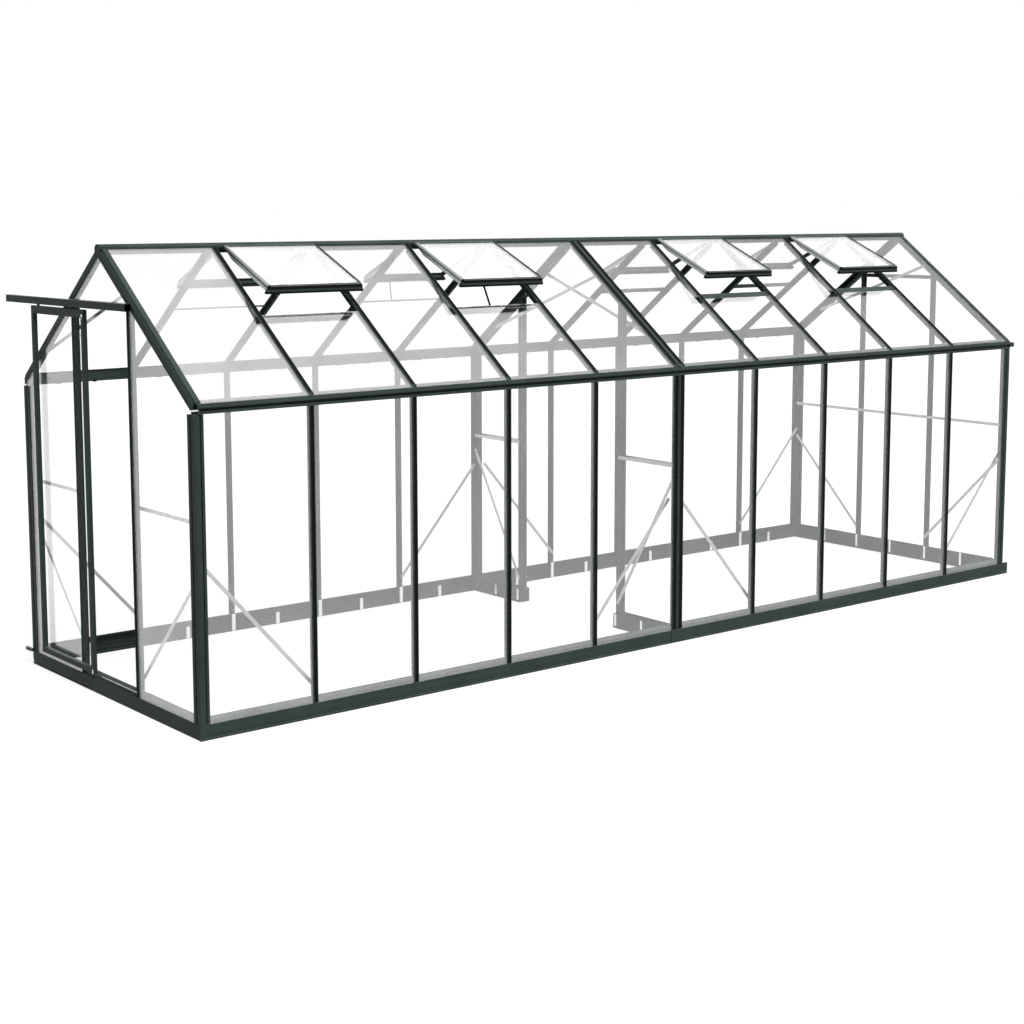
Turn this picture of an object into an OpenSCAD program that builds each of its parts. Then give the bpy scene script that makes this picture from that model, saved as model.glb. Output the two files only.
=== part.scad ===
// Aluminium framed greenhouse with clear polycarbonate sheets, made of two
// joined sections. X runs along the ridge with the door gable at -X, Y runs
// across with the front wall at -Y, and Z is up from the ground.

/* [Plan] */
// Spacing of the glazing bars
bay = 620; // [450:5:800]
// Bays along each of the two joined sections
section_bays = 5; // [3:1:6]
// Distance between the end bars of the two sections at their joint
joint_gap = 40; // [38:1:60]
// Shortening of the last bay at the far gable
end_trim = 12; // [0:1:40]
// Distance between the glazing lines of the two long walls
span = 1840; // [1500:10:2400]
// Distance between the two gable posts that frame the door
door_bay = 620; // [500:5:720]
// Clear width of the doorway in the middle partition, post centre to post centre
partition_door = 930; // [700:10:1100]

/* [Heights] */
// Height of the base frame
base_h = 108; // [100:1:160]
// Height of the roof sheet line above the long walls
eave_z = 1638; // [1300:1:2000]
// Roof pitch in degrees
pitch = 37.3; // [30:0.1:42]
// Height of the horizontal rails in the gables and the partition
rail_z = 1040; // [900:10:1200]
// Height of the door head
door_head_z = 2011; // [1880:1:2030]

/* [Sheets] */
// Thickness of the polycarbonate sheets
sheet_t = 4; // [3:0.5:6]
// Clearance between a sheet and its bars
fit = 0.3; // [0.2:0.05:0.5]

/* [Glazing bars] */
// Width of a glazing bar cap
bar_w = 28; // [24:1:32]
// Height of the cap above the middle of the sheet
cap_out = 5; // [4:0.5:8]
// Depth of the inner stem below the middle of the sheet
stem_in = 31; // [24:1:36]
// Distance from the wall line out to the middle of the wall sheets
sheet_out = 26; // [20:1:30]
// Wall thickness of the extrusions
wall_t = 3; // [2:0.5:4]

/* [Base] */
// Outward reach of the base from the wall line
base_out = 30; // [28:1:40]
// Length of the side base rails past the far gable's base
base_past = 54; // [20:1:60]
// Height of the ledge that the sheets and posts stand on
ledge_z = 76; // [60:1:84]

/* [Eave and ridge] */
// Depth of the eave beam below the roof sheet line
eave_drop = 75; // [60:1:90]
// Outward reach of the drip edge from the wall line
eave_reach = 36; // [34:1:50]
// Length of the drip edge past the near gable line
eave_near = 10; // [0:1:25]
// Length of the drip edge past the far gable line
eave_past = 69; // [60:1:90]
// Half width of the ridge cap
ridge_half = 30; // [26:1:40]
// Height of the ridge cap above the roof sheets' meeting line
ridge_top = 4.5; // [3:0.5:12]
// Depth of the ridge beam below the roof sheets' meeting line
ridge_drop = 48; // [44:1:90]

/* [Roof vents] */
// Bays of each section that hold a roof vent, counted from its door end
vent_bays = [1, 3]; // [0:1:4]
// Place of the vent's near side in its bay
vent_near = 45; // [20:1:60]
// Width of a vent
vent_w = 580; // [500:5:600]
// Length of a vent down the slope
vent_len = 497; // [450:1:640]
// Angle at which the vents are propped open, in degrees
vent_open = 12.8; // [8:0.1:30]

/* [Sliding door] */
// Width of the door leaf
door_w = 625; // [600:5:760]
// Thickness of the door leaf
door_t = 24; // [20:1:30]
// Distance of the open door from its closed place
door_shift = 440; // [200:5:600]
// Gap between the door leaf and the faces that it slides past
door_gap = 6; // [5:0.5:10]
// Length of the door track
track_len = 1417; // [1350:1:1600]
// Distance of the track's front end from the middle of the doorway
track_start = 347; // [345:1:400]

/* [Hidden] */

$fn = 32;
frame_green = "#2f3d3a";
zinc_grey = "#b4b8b6";
sheet_clear = [0.86, 0.93, 0.94, 0.35];
black_plastic = "#1b1d1c";

section_len = section_bays * bay;
length = 2 * section_len + joint_gap - end_trim;
joint_x = section_len + joint_gap / 2;
half_w = span / 2;
rise = tan(pitch);
slope_len = half_w / cos(pitch);
ridge_z = eave_z + half_w * rise;
sheet_gap = sheet_t / 2 + fit;
bar_half = bar_w / 2;
slot_half = bar_half - 2;
shelf_half = bar_half + 2;
seam = 1;

// Outermost faces of the posts and rafters, measured from the wall and gable lines
shell_out = sheet_out + cap_out;

// Base
base_in = 1;
upstand = sheet_out - sheet_gap;
upstand_h = 93;

// Post, rafter and joint faces
rafter_in = 12;
rafter_depth = 46;
rafter_slot_n = 20;
post_lip = 35;
corner_tongue = 11.5;
eave_web = 16;
joint_lip = 40;
joint_slot = 38;
wall_top = eave_z - eave_drop;
slot_top = eave_z - eave_drop + 10;

// The truss braces run from near one wall, across the middle, to the other slope
truss_foot = 220;
truss_head = 674;

// Braces and rails are flat strips on the inner side of the stems
strip_w = 20;
strip_t = 3;
strip_line = stem_in - sheet_out + fit + strip_t / 2;
joint_post_depth = 18;
joint_face = 24;
joint_line = joint_face + fit + strip_t / 2;
brace_high = 850;
gable_brace_high = 800;
brace_low = 170;
partition_brace_rise = 100;

// Vents
vent_hinge_n = 15;
vent_hinge_s = slope_len - (ridge_half + 4.6) / cos(pitch) + vent_hinge_n * rise;
vent_stile_w = 13;
vent_depth = 34;
vent_hinge_depth = 9;
vent_taper = 115;
vent_rail_h = 40;
vent_rail_w = 37;
vent_splay = 15;
sill_s = vent_hinge_s - vent_len - 88;
stay_w = 20;
stay_t = 4;

// Door
leaf_x = -(shell_out + door_gap + door_t / 2);
door_bottom = base_h + 4;
stile_w = 25;
head_w = 42;
kick_w = 30;
track_w = 30;
track_h = 38;
track_z = door_head_z + 9;
roller_r = 9;

// The whole part's extremes, from which its middle is found
x_low = leaf_x - track_w / 2;
x_high = length + max(eave_past, base_out + base_past);
plate_t = 4;
plate_w = 96;
plate_drop = 2;
y_low = -half_w - eave_reach;
y_high = track_len - track_start;

// Height of the base's sloping top at u outside the wall line
function base_top(u) = upstand_h + (upstand - u) * (base_h - upstand_h) / (upstand + base_in);
// Height, on a plane set off by n from the roof sheets, at u outside the wall line
function eave_h(u, n) = n / cos(pitch) - u * rise;
// The same, measured from the ridge at y from the middle
function ridge_h(y, n) = n / cos(pitch) - y * rise;
// Height of the middle of the rafters' inner depth, at y from the middle
function roof_under(y) = ridge_z - y * rise - 32 / cos(pitch);
// A symmetric outline from its right half
function both_sides(half) =
    concat(half, [for (i = [len(half) - 1:-1:0]) [-half[i][0], half[i][1]]]);

bar_places = [for (i = [1:section_bays - 1]) i * bay];
bar_xs = concat(bar_places, [for (x = bar_places) x + section_len + joint_gap]);
bay_starts = concat([for (i = [0:section_bays - 1]) i * bay],
                    [for (i = [0:section_bays - 1]) i * bay + section_len + joint_gap]);
vent_xs = concat([for (i = vent_bays) i * bay],
                 [for (i = vent_bays) i * bay + section_len + joint_gap]);

// ---------------------------------------------------------------- sections

// Glazing bar: grooved cap outside the sheets, tee stem inside them
groove_floor = cap_out - 12.5;
bar_section = both_sides([
    [slot_half - 2, groove_floor], [slot_half - 2, cap_out], [bar_half, cap_out],
    [bar_half, sheet_gap], [slot_half, sheet_gap], [slot_half, -sheet_gap],
    [shelf_half, -sheet_gap], [shelf_half, -sheet_gap - 2], [slot_half, -sheet_gap - 2],
    [slot_half, groove_floor - 2], [wall_t / 2, groove_floor - 2],
    [wall_t / 2, wall_t - stem_in], [8, wall_t - stem_in], [8, -stem_in]
]);

// One half of the double post or rafter at the joint, (from the joint, out of the sheets)
joint_section = [
    [seam / 2, cap_out], [10, cap_out], [10, groove_floor], [joint_lip - 4, groove_floor],
    [joint_lip - 4, cap_out], [joint_lip, cap_out], [joint_lip, sheet_gap],
    [joint_slot, sheet_gap], [joint_slot, -sheet_gap], [joint_slot + 4, -sheet_gap],
    [joint_slot + 4, -sheet_gap - 2], [joint_slot, -sheet_gap - 2],
    [joint_slot, groove_floor - 2], [joint_face, groove_floor - 2],
    [joint_face, -stem_in], [seam / 2, -stem_in]
];

// Base rail, (outward, up): lip, plain face, ledge for the sheets and sloping top
base_section = [
    [base_out, 0], [base_out, 9], [base_out - 2.5, 10], [base_out - 2.5, 13], [base_out, 24],
    [base_out, ledge_z - 2], [base_out - 1.5, ledge_z], [upstand, ledge_z],
    [upstand, upstand_h], [-base_in, base_h], [-base_in, base_h - 12], [wall_t, base_h - 12],
    [wall_t, base_h - 6], [upstand - wall_t, upstand_h - 3], [upstand - wall_t, ledge_z - wall_t],
    [base_out - wall_t, ledge_z - 4], [base_out - wall_t, 25], [base_out - 5.5, 24],
    [base_out - 5.5, wall_t], [wall_t, wall_t], [wall_t, 14], [-base_in, 14], [-base_in, 0]
];

// Eave beam, (outward, up from the eave line), with a slot for the wall sheets
eave_lip = [
    [shell_out, 1 - eave_drop], [shell_out, 13 - eave_drop], [19, 13 - eave_drop],
    [19, 29 - eave_drop], [eave_reach, 29 - eave_drop], [eave_reach, 34 - eave_drop],
    [29.5, eave_h(29.5, -sheet_gap)]
];
eave_slot = [
    [upstand, 10 - eave_drop], [sheet_out + sheet_gap, 10 - eave_drop],
    [sheet_out + sheet_gap, 1 - eave_drop]
];
eave_section = concat(eave_lip, [
    [-20, eave_h(-20, -sheet_gap)], [-20, eave_h(-20, -sheet_gap - wall_t)],
    [eave_web, eave_h(eave_web, -sheet_gap - wall_t)], [eave_web, wall_t - eave_drop],
    [-10, wall_t - eave_drop], [-10, -eave_drop], [upstand, -eave_drop]
], eave_slot);

// The outer part of the eave beam, which runs on past the gable rafters
eave_lip_section = concat(eave_lip, [
    [eave_web, eave_h(eave_web, -sheet_gap)], [eave_web, 10 - eave_drop]
], eave_slot);

// The block that closes the drip edge past the far gable
eave_plug = [
    [eave_web, 12 - eave_drop], [eave_reach, 12 - eave_drop],
    [eave_reach, 34 - eave_drop], [32, 42 - eave_drop], [eave_web, 42 - eave_drop]
];

// Ridge beam, (across, up from the sheets' meeting line)
ridge_section = both_sides([
    [0, ridge_top], [13, ridge_top], [ridge_half, -10],
    [ridge_half, ridge_h(ridge_half, sheet_gap)],
    [10, ridge_h(10, sheet_gap)], [10, ridge_h(10, -sheet_gap)],
    [ridge_half - 5, ridge_h(ridge_half - 5, -sheet_gap)],
    [ridge_half - 5, ridge_h(ridge_half - 5, -sheet_gap - wall_t)],
    [wall_t, ridge_h(wall_t, -sheet_gap - wall_t)],
    [wall_t, wall_t - ridge_drop], [12, wall_t - ridge_drop],
    [12, -ridge_drop], [0, -ridge_drop]
]);
ridge_end = both_sides([
    [0, ridge_top], [13, ridge_top], [ridge_half, -10], [ridge_half, -ridge_drop]
]);

// Gable rafter, (inward from the gable line, out from the roof sheets): cap over the
// roof sheets, chamfered outer side with a slot for the gable sheets, inner channel
slot_in = -sheet_out + sheet_gap;
slot_out = -sheet_out - sheet_gap;
rafter_section = [
    [-19, cap_out], [9, cap_out], [9, sheet_gap], [-6, sheet_gap], [-6, -sheet_gap],
    [rafter_in, -sheet_gap], [rafter_in, -sheet_gap - wall_t],
    [wall_t + slot_in, -sheet_gap - wall_t - 6], [wall_t + slot_in, wall_t - rafter_depth],
    [2, wall_t - rafter_depth], [2, 14 - rafter_depth], [5, 14 - rafter_depth],
    [5, -rafter_depth], [slot_in, -rafter_depth], [slot_in, -rafter_slot_n],
    [slot_out, -rafter_slot_n], [slot_out, -rafter_depth], [-shell_out, -rafter_depth],
    [-shell_out, -16], [-20, -2]
];

// ---------------------------------------------------------------- placing

// Puts the greenhouse's own middle on the part's origin
module placed() {
    translate([-(x_low + x_high) / 2, -(y_low + y_high) / 2, 0]) children();
}

// Draws the front side, or its mirror image at the back
module side(front) {
    if (front) children();
    else mirror([0, 1, 0]) children();
}

// Draws the near gable, or its mirror image at the far end
module gable(near) {
    if (near) children();
    else translate([length, 0, 0]) mirror([1, 0, 0]) children();
}

// The front roof slope as a flat sheet: Y up the slope, Z out of it
module slope() {
    translate([0, -half_w, eave_z]) rotate([pitch, 0, 0]) children();
}

// A section drawn (outward, up) along the front wall, from x1 to x2
module along_wall(points, x1, x2) {
    translate([x1, -half_w, 0]) rotate([90, 0, 90]) linear_extrude(x2 - x1)
        polygon([for (p = points) [-p[0], p[1]]]);
}

// A section drawn (outward, up) along the near gable, from y1 to y2
module along_gable(points, y1, y2) {
    translate([0, y1, 0]) rotate([90, 0, 180]) linear_extrude(y2 - y1) polygon(points);
}

// A section drawn (across, out of the slope) along the slope, from s1 to s2
module along_slope(points, s1, s2) {
    translate([0, s2, 0]) rotate([90, 0, 0]) linear_extrude(s2 - s1) polygon(points);
}

// A flat strip between two points of an upright plane, (along, up)
module strip(p1, p2, width, thick) {
    run = p2 - p1;
    translate([p1[0], 0, p1[1]]) rotate([0, -atan2(run[1], run[0]), 0])
        translate([0, -thick / 2, -width / 2]) cube([norm(run), thick, width]);
}

// ---------------------------------------------------------------- base

// Space of the sloping top and the inside of the base, (outward, up)
base_room = [
    [upstand + fit, 0], [upstand + fit, base_top(upstand + fit) + fit],
    [-2 * shell_out, base_top(-2 * shell_out) + fit], [-2 * shell_out, 0]
];

// Space of a corner post above the ledge
module corner_room() {
    translate([-3 * shell_out, -half_w - 2 * shell_out, ledge_z])
        cube([3 * shell_out + 21 + fit, 2 * shell_out + post_lip + fit, base_h]);
}

module base_side(front, near) {
    x1 = near ? -base_out : joint_x + seam / 2;
    x2 = near ? joint_x - seam / 2 : length + base_out + base_past;
    side(front) difference() {
        intersection() {
            along_wall(base_section, x1, x2);
            base_mitre();
        }
        gable(near) corner_room();
    }
}

// Keeps the near end of a side base rail to its 45 degree mitre
module base_mitre() {
    reach = base_out + base_in;
    linear_extrude(base_h) polygon([
        [-base_out, -half_w - base_out], [2 * length, -half_w - base_out],
        [2 * length, -half_w + base_in], [-base_out + reach, -half_w + base_in]]);
}

// Gable base rail: mitred to the side rails at the near end, between them at the far end
module base_gable(near) {
    reach = base_out + base_in;
    edge = near ? half_w + base_out : half_w - base_in - fit;
    inner = near ? edge - reach : edge;
    gable(near) difference() {
        intersection() {
            along_gable(base_section, -edge, edge);
            linear_extrude(base_h) polygon([
                [-base_out, -edge], [-base_out + reach, -inner],
                [-base_out + reach, inner], [-base_out, edge]]);
        }
        for (front = [true, false]) side(front) corner_room();
    }
}

module partition_stubs() {
    stub_len = half_w - partition_door / 2 + 20 - base_in;
    for (front = [true, false]) side(front)
        translate([joint_x, -half_w + base_in + fit, 0]) difference() {
            translate([-joint_gap, 0, 0]) cube([2 * joint_gap, stub_len, base_h - 20]);
            translate([wall_t - joint_gap, wall_t, wall_t])
                cube([2 * joint_gap - 2 * wall_t, stub_len - 2 * wall_t, base_h]);
        }
}

module joint_plates() {
    for (front = [true, false]) side(front)
        translate([joint_x - plate_w / 2, -half_w - base_out - plate_t, plate_drop])
            cube([plate_w, plate_t, ledge_z - 2 - plate_drop]);
}

module cleats() {
    cleat_w = 24;
    cleat_t = 2;
    for (front = [true, false]) side(front) {
        for (x = bar_xs)
            translate([x - cleat_w / 2, -half_w + base_in, wall_t])
                cube([cleat_w, cleat_t, base_h - 2 * wall_t]);
        for (x = bay_starts)
            translate([x + bay / 2 - cleat_w / 2, -half_w + base_in, wall_t])
                cube([cleat_w, cleat_t, 0.65 * base_h]);
    }
}

// ---------------------------------------------------------------- posts and bars

// Corner post at the near front corner: a grooved shell with slots for the sheets and
// a tongue that rises to the rafter
module corner_post() {
    lip = wall_t - 0.6;
    section = [
        [3 - shell_out, -shell_out], [-2, -shell_out], [-2, 10 - shell_out],
        [7, 10 - shell_out], [7, -shell_out], [21, -shell_out], [21, lip - shell_out],
        [9, lip - shell_out], [9, -upstand], [21, -upstand], [21, wall_t - upstand],
        [11, wall_t - upstand], [11, -18], [5, -18], [5, 5], [-18, 5], [-18, 16],
        [wall_t - upstand, 16], [wall_t - upstand, post_lip], [-upstand, post_lip],
        [-upstand, 14], [lip - shell_out, 14], [lip - shell_out, post_lip],
        [-shell_out, post_lip], [-shell_out, 12], [10 - shell_out, 12],
        [10 - shell_out, 0], [-shell_out, 0], [-shell_out, 3 - shell_out]
    ];
    translate([0, -half_w, ledge_z]) linear_extrude(wall_top - ledge_z) polygon(section);
    intersection() {
        translate([0, -half_w, ledge_z]) linear_extrude(eave_z) polygon(section);
        translate([-19, fit - half_w - eave_web, ledge_z])
            cube([19 + corner_tongue, 2 * eave_web, eave_z]);
        under_rafters(rafter_depth + fit);
    }
}

module four_corner_posts() {
    for (near = [true, false]) for (front = [true, false]) gable(near) side(front) corner_post();
}

module upright_bar(height) {
    rotate([0, 0, 180]) linear_extrude(height) polygon(bar_section);
}

module wall_bars(front) {
    side(front) difference() {
        for (x = bar_xs)
            translate([x, -half_w - sheet_out, ledge_z]) upright_bar(wall_top - ledge_z);
        along_wall(base_room, 0, length);
    }
}

module four_joint_posts() {
    for (front = [true, false]) side(front) difference() {
        for (near = [true, false])
            translate([joint_x, -half_w - sheet_out, ledge_z]) mirror([near ? 1 : 0, 0, 0])
                linear_extrude(wall_top - ledge_z)
                    polygon([for (p = joint_section) [p[0], -p[1]]]);
        along_wall(base_room, 0, length);
    }
}

// Cuts an upright at the underside of the gable rafters
module under_rafters(drop) {
    edge = half_w + 2 * shell_out;
    edge_z = eave_z - 2 * shell_out * rise - drop / cos(pitch);
    rotate([90, 0, 90]) translate([0, 0, -length]) linear_extrude(3 * length)
        polygon([[-edge, 0], [edge, 0], [edge, edge_z],
                 [0, ridge_z - drop / cos(pitch)], [-edge, edge_z]]);
}

module gable_posts(near) {
    gable(near) difference() {
        intersection() {
            for (y = [-door_bay / 2, door_bay / 2])
                translate([-sheet_out, y, ledge_z]) rotate([0, 0, 90])
                    linear_extrude(ridge_z - ledge_z) polygon(bar_section);
            under_rafters(rafter_depth + fit);
        }
        along_gable(base_room, -half_w, half_w);
    }
}

module partition_uprights() {
    intersection() {
        for (x = [joint_x - joint_face + joint_post_depth / 2, joint_x + joint_face - joint_post_depth / 2])
            for (y = [-partition_door / 2, partition_door / 2])
                translate([x - joint_post_depth / 2, y - bar_half, base_h - 20 + fit])
                    cube([joint_post_depth, bar_w, ridge_z - base_h]);
        under_rafters(stem_in + fit);
    }
}

// ---------------------------------------------------------------- roof frame

module eave_beams(front) {
    side(front) translate([0, 0, eave_z]) {
        along_wall(eave_section, rafter_in + fit, joint_x - seam / 2);
        along_wall(eave_lip_section, -eave_near, rafter_in + fit);
        along_wall(eave_section, joint_x + seam / 2, length - rafter_in - fit);
        along_wall(eave_lip_section, length - rafter_in - fit, length + shell_out);
        along_wall(eave_plug, length + shell_out, length + eave_past);
    }
}

module ridge_beams() {
    for (near = [true, false]) gable(near) translate([-shell_out, 0, ridge_z]) rotate([90, 0, 90]) {
        linear_extrude(shell_out + joint_x - seam / 2) polygon(ridge_section);
        linear_extrude(wall_t) polygon(ridge_end);
    }
}

// Cuts roof members, which run past both of their ends, at the eave and the ridge
module roof_ends(under_eave) {
    difference() {
        intersection() {
            children();
            translate([-length, -half_w - shell_out, 0])
                cube([3 * length, half_w + shell_out - ridge_half - fit, 2 * ridge_z]);
        }
        intersection() {
            translate([-length, -half_w - 2 * shell_out, 0])
                cube([3 * length, 2 * shell_out + under_eave, 2 * ridge_z]);
            slope() translate([-length, -half_w, -half_w - sheet_gap])
                cube([3 * length, 2 * half_w, half_w]);
        }
    }
}

module roof_bars(front) {
    side(front) roof_ends(20 + fit) slope() for (x = bar_xs)
        translate([x, 0, 0]) along_slope(bar_section, -2 * shell_out, slope_len);
}

module four_joint_rafters() {
    for (front = [true, false]) side(front) roof_ends(20 + fit) slope()
        for (near = [true, false]) translate([joint_x, 0, 0]) mirror([near ? 1 : 0, 0, 0])
            along_slope(joint_section, -2 * shell_out, slope_len);
}

// Space of the ridge beam and its end plates, (across, up)
module ridge_room() {
    translate([-length, -ridge_half - fit, ridge_z - ridge_drop - fit])
        cube([3 * length, 2 * (ridge_half + fit), half_w]);
}

module four_gable_rafters() {
    for (near = [true, false]) gable(near) for (front = [true, false]) side(front)
        difference() {
            intersection() {
                slope() along_slope(rafter_section, -2 * shell_out, slope_len + 2 * rafter_depth);
                translate([-2 * shell_out, -half_w - shell_out, 0])
                    cube([4 * shell_out, half_w + shell_out - seam / 2, 2 * ridge_z]);
            }
            ridge_room();
            intersection() {
                translate([-2 * shell_out, -half_w - 2 * shell_out, 0])
                    cube([4 * shell_out, 2 * shell_out - eave_web + fit, 2 * ridge_z]);
                slope() translate([-2 * shell_out, -half_w, -half_w - sheet_gap])
                    cube([4 * shell_out, 2 * half_w, half_w]);
            }
        }
}

// ---------------------------------------------------------------- rails and braces

// Draws a strip that lies against the inner side of the near gable's stems
module on_gable(near) {
    gable(near) translate([strip_line, 0, 0]) rotate([0, 0, 90]) children();
}

module gable_strips() {
    inner = half_w - 5 - fit;
    on_gable(true) for (s = [-1, 1])
        strip([s * inner, rail_z], [s * door_bay / 2, rail_z], strip_w, strip_t);
    on_gable(false) strip([-inner, rail_z], [inner, rail_z], strip_w, strip_t);
}

module partition_strips() {
    for (front = [true, false]) side(front) for (e = [-1, 1])
        translate([joint_x + e * joint_line, 0, 0]) rotate([0, 0, 90])
            strip([-half_w - 4, rail_z], [-partition_door / 2, rail_z], strip_w, strip_t);
}

module wall_brace_strips() {
    for (front = [true, false]) side(front) translate([0, -half_w + strip_line, 0]) {
        strip([5 + fit, brace_high], [bay, brace_low], strip_w, strip_t);
        strip([section_len - 20, brace_high], [section_len - bay, brace_low], strip_w, strip_t);
        strip([section_len + joint_gap + 20, brace_high],
              [section_len + joint_gap + bay, brace_low], strip_w, strip_t);
        strip([length - 5 - fit, brace_high], [length - bay, brace_low], strip_w, strip_t);
    }
}

module gable_brace_strips() {
    for (near = [true, false]) on_gable(near) for (s = [-1, 1])
        strip([s * (half_w - 5 - fit), gable_brace_high], [s * door_bay / 2, brace_low],
              strip_w, strip_t);
}

module partition_brace_strips() {
    for (front = [true, false]) side(front)
        translate([joint_x - joint_line, 0, 0]) rotate([0, 0, 90])
            strip([-half_w - 4, brace_high + partition_brace_rise], [-partition_door / 2, brace_low - 20],
                  strip_w, strip_t);
}

module truss_brace_strips() {
    low_y = half_w - truss_foot;
    high_y = half_w - truss_head;
    low = [low_y, roof_under(low_y)];
    high = [-high_y, roof_under(high_y)];
    for (near = [true, false]) on_gable(near) strip(low, high, strip_w, strip_t);
    for (e = [-1, 1]) translate([joint_x + e * joint_line, 0, 0]) rotate([0, 0, 90])
        mirror([e > 0 ? 1 : 0, 0, 0]) strip(low, high, strip_w, strip_t);
}

module headers() {
    inner = door_bay / 2 - shelf_half - fit;
    for (near = [true, false]) gable(near) intersection() {
        translate([-upstand, -inner, track_z])
            cube([16, 2 * inner, 25]);
        under_rafters(rafter_depth + fit);
    }
}

// ---------------------------------------------------------------- sheets

module wall_sheets(front) {
    corner = 9 + fit;
    joint = joint_slot - joint_gap / 2 + fit;
    side(front) for (i = [0:2 * section_bays - 1]) {
        left = i == 0 ? corner : i == section_bays ? joint : slot_half + fit;
        right = i == section_bays - 1 ? joint
            : i == 2 * section_bays - 1 ? corner + end_trim : slot_half + fit;
        translate([bay_starts[i] + left, -half_w - sheet_out - sheet_t / 2, ledge_z + fit])
            cube([bay - left - right, sheet_t, slot_top - ledge_z - 2 * fit]);
    }
}

module roof_sheets(front) {
    joint = joint_slot - joint_gap / 2 + fit;
    verge = -6 + fit;
    low = -shell_out / cos(pitch);
    top = slope_len - 10 / cos(pitch) - 4;
    side(front) slope() for (i = [0:2 * section_bays - 1]) {
        left = i == 0 ? verge : i == section_bays ? joint : slot_half + fit;
        right = i == section_bays - 1 ? joint
            : i == 2 * section_bays - 1 ? verge + end_trim : slot_half + fit;
        vented = len(search(bay_starts[i], vent_xs)) > 0;
        translate([bay_starts[i] + left, low, -sheet_t / 2])
            cube([bay - left - right, (vented ? sill_s : top) - low, sheet_t]);
    }
}

// The gable's glazed outline between two heights and two places across
module gable_sheet(y1, y2, z1) {
    difference() {
        intersection() {
            translate([-sheet_out - sheet_t / 2, y1, z1]) cube([sheet_t, y2 - y1, ridge_z - z1]);
            under_rafters(rafter_slot_n + fit);
        }
        ridge_room();
    }
}

module gable_sheets(near) {
    clear = slot_half + fit;
    edge = half_w - 14 - fit;
    post = door_bay / 2;
    gable(near) {
        gable_sheet(-edge, -post - clear, ledge_z + fit);
        gable_sheet(post + clear, edge, ledge_z + fit);
        gable_sheet(-post + clear, post - clear, near ? track_z + fit : ledge_z + fit);
    }
}

// ---------------------------------------------------------------- vents

// Draws in a vent's own place: X across the bay, Y up the slope with the hinge at 0, and
// Z out of the vent from its outer face
module vent_place(x) {
    slope() translate([x + vent_near, vent_hinge_s, vent_hinge_n])
        rotate([-vent_open, 0, 0]) children();
}

// Low rail of a vent, (up the slope, out): two dark grooves over an upright face
vent_rail_section = [
    [-vent_len, 0], [-vent_len, -2.5], [9 - vent_len, -4], [11 - vent_len, -13],
    [5 - vent_len, -14], [10 - vent_len, -27], [16 - vent_len, -28],
    [18 - vent_len, -vent_rail_h], [31 - vent_len, -vent_rail_h], [31 - vent_len, -8],
    [vent_rail_w - vent_len, -8], [vent_rail_w - vent_len, 0]
];

// A section drawn (along the vent, out) across the vent, from x1 to x2
module across_vent(points, x1, x2) {
    translate([x1, 0, 0]) rotate([90, 0, 90]) linear_extrude(x2 - x1) polygon(points);
}

module vent_frame() {
    stile = [
        [vent_rail_w - vent_len - 1, 0], [0, 0], [0, -vent_hinge_depth],
        [-vent_taper, -vent_depth], [vent_rail_w - vent_len - 1, -vent_depth]
    ];
    across_vent(stile, 0, vent_stile_w);
    across_vent(stile, vent_w - vent_stile_w, vent_w);
    across_vent([[-vent_stile_w, 0], [0, 0], [0, -vent_hinge_depth],
                 [-vent_stile_w, -vent_hinge_depth]], 0, vent_w);
    intersection() {
        across_vent(vent_rail_section, 0, vent_w);
        translate([0, 0, -vent_rail_h]) rotate([90, 0, 0]) linear_extrude(2 * vent_len)
            polygon([[0, 0], [vent_w, 0], [vent_w - vent_splay, vent_rail_h],
                     [vent_splay, vent_rail_h]]);
    }
}

module vent_frames(front) {
    side(front) for (x = vent_xs) vent_place(x) vent_frame();
}

module vent_sheets() {
    for (front = [true, false]) side(front) for (x = vent_xs) vent_place(x)
        translate([vent_stile_w + fit, vent_rail_w - vent_len + fit, -2 - sheet_t])
            cube([vent_w - 2 * (vent_stile_w + fit),
                  vent_len - vent_rail_w - vent_stile_w - 2 * fit, sheet_t]);
}

// Sill under the top edge of the roof sheet below a vent, with an upstand at its edge
module sills() {
    sill_section = [
        [-24, -sheet_gap], [fit, -sheet_gap], [fit, 5], [7, 5], [7, -14], [4, -14],
        [4, -sheet_gap - wall_t], [-24, -sheet_gap - wall_t]
    ];
    for (front = [true, false]) side(front) slope() for (x = vent_xs)
        translate([0, sill_s, 0])
            across_vent(sill_section, x + shelf_half + fit, x + bay - shelf_half - fit);
}

// Stay between the sill and the low rail of the second vent on each side
module stays() {
    low = [sill_s + 5, 5 + stay_t / 2 + fit];
    high = [vent_hinge_s - cos(vent_open) * (vent_len - 24) - sin(vent_open) * vent_rail_h,
            vent_hinge_n + sin(vent_open) * (vent_len - 24) - cos(vent_open) * vent_rail_h - 2.5];
    for (front = [true, false]) side(front) slope()
        translate([vent_xs[1] + vent_near + vent_w / 2, 0, 0]) rotate([0, 0, 90])
            strip(low, high, stay_t, stay_w);
}

// ---------------------------------------------------------------- sliding door

module track() {
    translate([leaf_x, -track_start, track_z]) {
        difference() {
            translate([-track_w / 2, 0, 0]) cube([track_w, track_len, track_h]);
            translate([wall_t - track_w / 2, 14, wall_t])
                cube([track_w - 2 * wall_t, track_len - 28, track_h - 2 * wall_t]);
            translate([-4, 14, -1]) cube([8, track_len - 28, wall_t + 2]);
        }
        for (y = [-door_bay / 2, door_bay / 2])
            translate([track_w / 2, track_start + y - 20, track_h - 18])
                cube([-leaf_x - shell_out - track_w / 2, 40, 18]);
    }
}

module door_place() {
    translate([leaf_x, door_shift, 0]) children();
}

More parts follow.
